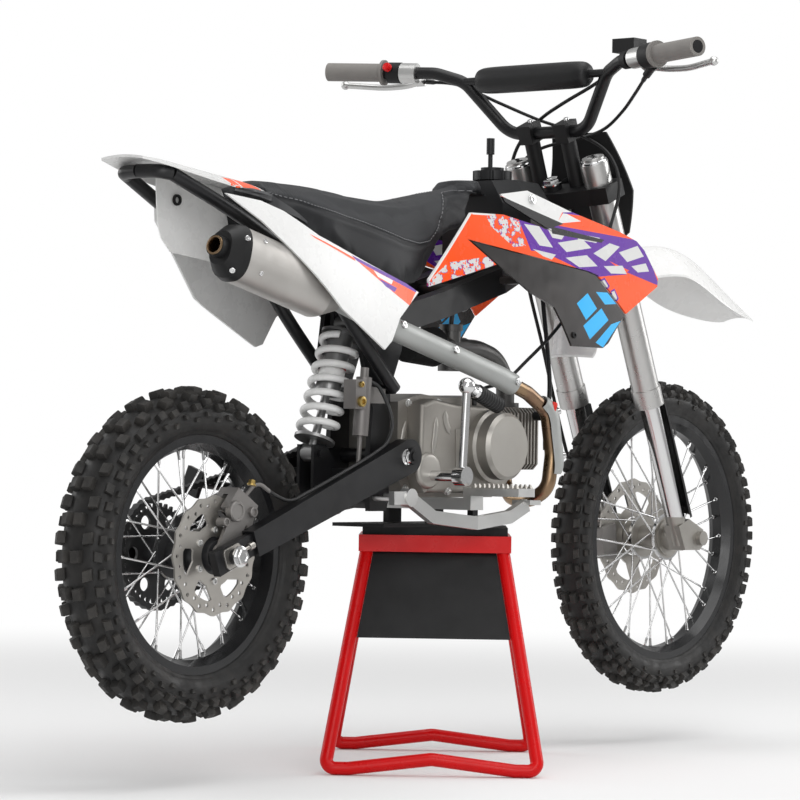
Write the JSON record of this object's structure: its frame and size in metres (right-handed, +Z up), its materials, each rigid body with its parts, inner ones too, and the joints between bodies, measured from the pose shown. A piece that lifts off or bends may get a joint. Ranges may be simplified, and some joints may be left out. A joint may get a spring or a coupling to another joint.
{
  "type": "dirt bike on a paddock stand",
  "caption": "Off-road dirt bike with orange, purple and white bodywork, held upright under its engine by a red tubular paddock stand.",
  "frame": {"origin": "on the floor under the stand, at the middle of the whole object's length and width", "axes": "+X towards the front wheel, +Y towards the rider's left, +Z up"},
  "size_m": [1.822, 0.831, 1.2488],
  "materials": {
    "tyre_rubber": "matte",
    "black_rim": "gloss",
    "hub_black": "satin",
    "disc_steel": "satin",
    "sprocket_steel": "satin",
    "chain_steel": "satin",
    "frame_black": "satin",
    "spring_white": "gloss",
    "damper_grey": "satin",
    "white_plastic": "gloss",
    "cast_alloy": "satin",
    "cover_alloy": "satin",
    "bright_alloy": "satin",
    "kick_chrome": "polished",
    "filter_black": "matte",
    "bronze_steel": "satin",
    "shield_silver": "satin",
    "muffler_silver": "satin",
    "cap_black": "satin",
    "skid_black": "satin",
    "tank_black": "satin",
    "seat_black": "matte",
    "shroud_orange": "gloss",
    "shroud_black": "gloss",
    "clamp_black": "satin",
    "guard_black": "satin",
    "fork_silver": "satin",
    "slider_dark": "polished",
    "bar_black": "gloss",
    "pad_black": "matte",
    "grip_grey": "matte",
    "lever_silver": "satin",
    "control_black": "matte",
    "brake_grey": "satin",
    "hose_black": "matte",
    "side_stand_black": "satin",
    "stand_red": "gloss",
    "stand_rubber": "matte",
    "sign_black": "satin"
  },
  "bodies": {
    "chassis": {"main_frame": "frame_black", "rear_subframe": "frame_black", "swingarm": "frame_black", "rear_shock": "damper_grey", "shock_spring": "spring_white", "drive_chain": "chain_steel", "drive_sprocket": "sprocket_steel", "rear_fender": "white_plastic", "engine_cases": "cast_alloy", "engine_covers": "cover_alloy", "kick_starter": "kick_chrome", "carburettor": "bright_alloy", "air_filter": "filter_black", "cylinder": "cast_alloy", "exhaust_header": "bronze_steel", "exhaust_midpipe": "shield_silver", "muffler": "muffler_silver", "muffler_cap": "cap_black", "footpegs": "bright_alloy", "skid_plate": "skid_black", "foot_controls": "bright_alloy", "rear_brake": "brake_grey", "fuel_tank": "tank_black", "fuel_cap": "tank_black", "seat": "seat_black", "side_panels": "white_plastic", "shrouds": "shroud_orange", "lower_shrouds": "shroud_black", "plug_lead": "hose_black", "control_cables": "hose_black", "stand_frame": "stand_red", "stand_pad": "stand_rubber", "stand_sign": "sign_black"},
    "front_fork": {"triple_clamps": "clamp_black", "fork_outer_tubes": "fork_silver", "fork_sliders": "slider_dark", "fork_guards": "guard_black", "front_caliper": "brake_grey", "front_brake_hose": "hose_black", "front_fender": "white_plastic", "number_plate": "shroud_black", "handlebar": "bar_black", "bar_pad": "pad_black", "grips": "grip_grey", "hand_levers": "lever_silver", "bar_controls": "control_black"},
    "front_wheel": {"front_tyre": "tyre_rubber", "front_rim": "black_rim", "front_hub": "hub_black", "front_disc": "disc_steel"},
    "rear_wheel": {"rear_tyre": "tyre_rubber", "rear_rim": "black_rim", "rear_hub": "hub_black", "rear_disc": "disc_steel", "rear_sprocket": "sprocket_steel"},
    "side_stand": {"side_stand": "side_stand_black"}
  },
  "joints": [
    {"name": "steering", "type": "hinge", "parent": "chassis", "child": "front_fork", "pos_m": [0.33039, 0, 0.92319], "axis": [-0.3875, 0, 0.9219], "range_deg": [-40, 40], "deforming": ["control_cables"]},
    {"name": "front_wheel_spin", "type": "hinge", "parent": "front_fork", "child": "front_wheel", "pos_m": [0.624, 0, 0.3795], "axis": [0, 1, 0], "continuous": true},
    {"name": "rear_wheel_spin", "type": "hinge", "parent": "chassis", "child": "rear_wheel", "pos_m": [-0.646, 0, 0.365], "axis": [0, 1, 0], "continuous": true},
    {"name": "side_stand_fold", "type": "hinge", "parent": "chassis", "child": "side_stand", "pos_m": [-0.134, 0.136, 0.44], "axis": [-0.0919, -0.9454, -0.3128], "range_deg": [0, 102]}
  ]
}
